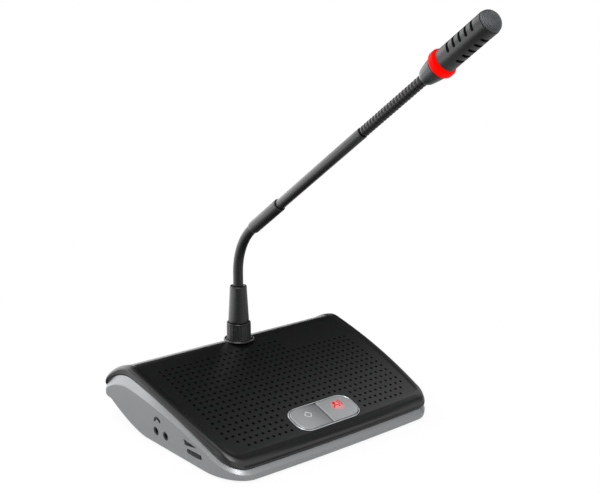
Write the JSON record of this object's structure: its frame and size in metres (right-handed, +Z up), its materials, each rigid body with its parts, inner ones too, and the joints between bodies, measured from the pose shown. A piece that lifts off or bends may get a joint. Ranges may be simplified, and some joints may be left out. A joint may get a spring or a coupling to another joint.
{
  "type": "conference delegate unit",
  "caption": "Low wedge-shaped desk unit with a perforated loudspeaker panel, push buttons, an edge volume wheel and a plug-in gooseneck microphone with a lit ring.",
  "frame": {"origin": "middle of the bounding box's footprint, on the surface that the rubber feet stand on", "axes": "+X to the right of the person who speaks, +Y away from that person to the unit's rear, +Z up; the buttons and the microphone's head face -Y"},
  "size_m": [0.19, 0.2629, 0.2847],
  "materials": {
    "silver_plastic": "silver satin paint on a moulded shell",
    "black_plastic": "satin black moulding",
    "button_plastic": "satin silver grey",
    "bright_trim": "bright plated",
    "red_light": "clear red, lit from inside",
    "socket_plastic": "black moulding",
    "circuit_board": "green solder mask",
    "steel": "plain",
    "cone_paper": "black pressed paper",
    "black_rubber": "satin",
    "black_metal": "glossy black",
    "grey_metal": "glossy dark grey",
    "mesh_metal": "fine woven mesh, dark grey",
    "black_foam": "open-cell foam"
  },
  "bodies": {
    "base": {"bottom_housing": "silver_plastic", "top_cover": "black_plastic", "button_bezel": "bright_trim", "left_switch": "socket_plastic", "right_switch": "socket_plastic", "button_board": "circuit_board", "button_board_screw_left": "steel", "button_board_screw_right": "steel", "speaker_frame": "steel", "speaker_cone": "cone_paper", "speaker_magnet": "steel", "ballast_plate": "steel", "main_board": "circuit_board", "board_screw_front_left": "steel", "board_screw_front_right": "steel", "board_screw_rear_left": "steel", "board_screw_rear_right": "steel", "case_screw_front_left": "steel", "case_screw_front_right": "steel", "case_screw_rear_left": "steel", "case_screw_rear_right": "steel", "rubber_foot_front_left": "black_rubber", "rubber_foot_front_right": "black_rubber", "rubber_foot_rear_left": "black_rubber", "rubber_foot_rear_right": "black_rubber", "headphone_jack": "socket_plastic", "recorder_jack": "socket_plastic", "volume_control": "socket_plastic", "link_socket_in": "socket_plastic", "link_socket_out": "socket_plastic", "mic_socket": "socket_plastic", "stem_escutcheon": "black_metal"},
    "left_button": {"left_button": "button_plastic"},
    "right_button": {"right_button": "button_plastic", "button_lens": "red_light"},
    "volume_wheel": {"volume_wheel": "socket_plastic"},
    "stem": {"stem_plug": "steel", "stem_sleeve": "black_metal"},
    "collar": {"lock_collar": "black_metal"},
    "neck": {"lower_gooseneck": "black_rubber"},
    "arm": {"lower_ferrule": "black_metal", "stem_tube": "black_metal", "upper_gooseneck": "black_rubber"},
    "head": {"head_cone": "grey_metal", "light_ring": "red_light", "head_barrel": "black_metal", "head_foam": "black_foam", "mic_capsule": "steel", "mesh_cap": "mesh_metal"}
  },
  "joints": [
    {"name": "left_button_press", "type": "slide", "parent": "base", "child": "left_button", "axis": [0, 0.3363, -0.9417], "range_m": [0, 0.0009], "stiffness_N_per_m": 800, "springref_m": -0.0006},
    {"name": "right_button_press", "type": "slide", "parent": "base", "child": "right_button", "axis": [0, 0.3363, -0.9417], "range_m": [0, 0.0009], "stiffness_N_per_m": 800, "springref_m": -0.0006},
    {"name": "volume_turn", "type": "hinge", "parent": "base", "child": "volume_wheel", "pos_m": [-0.082, 0.02348, 0.0095], "axis": [0, 0, 1], "range_deg": [-135, 135]},
    {"name": "stem_unplug", "type": "slide", "parent": "base", "child": "stem", "axis": [0, 0, 1], "range_m": [0, 0.018]},
    {"name": "collar_turn", "type": "hinge", "parent": "stem", "child": "collar", "pos_m": [0, 0.09659, 0.0545], "axis": [0, 0, 1], "range_deg": [0, 180]},
    {"name": "neck_swing", "type": "hinge", "parent": "stem", "child": "neck", "pos_m": [0, 0.09659, 0.098], "axis": [0, 0, 1], "range_deg": [-90, 90]},
    {"name": "neck_bend", "type": "hinge", "parent": "neck", "child": "arm", "pos_m": [0, 0.09162, 0.1184], "axis": [1, 0, 0], "range_deg": [-54, 30], "deforming": ["lower_gooseneck"]},
    {"name": "head_bend", "type": "hinge", "parent": "arm", "child": "head", "pos_m": [0, -0.05568, 0.22877], "axis": [1, 0, 0], "range_deg": [-60, 60], "deforming": ["upper_gooseneck"]}
  ]
}
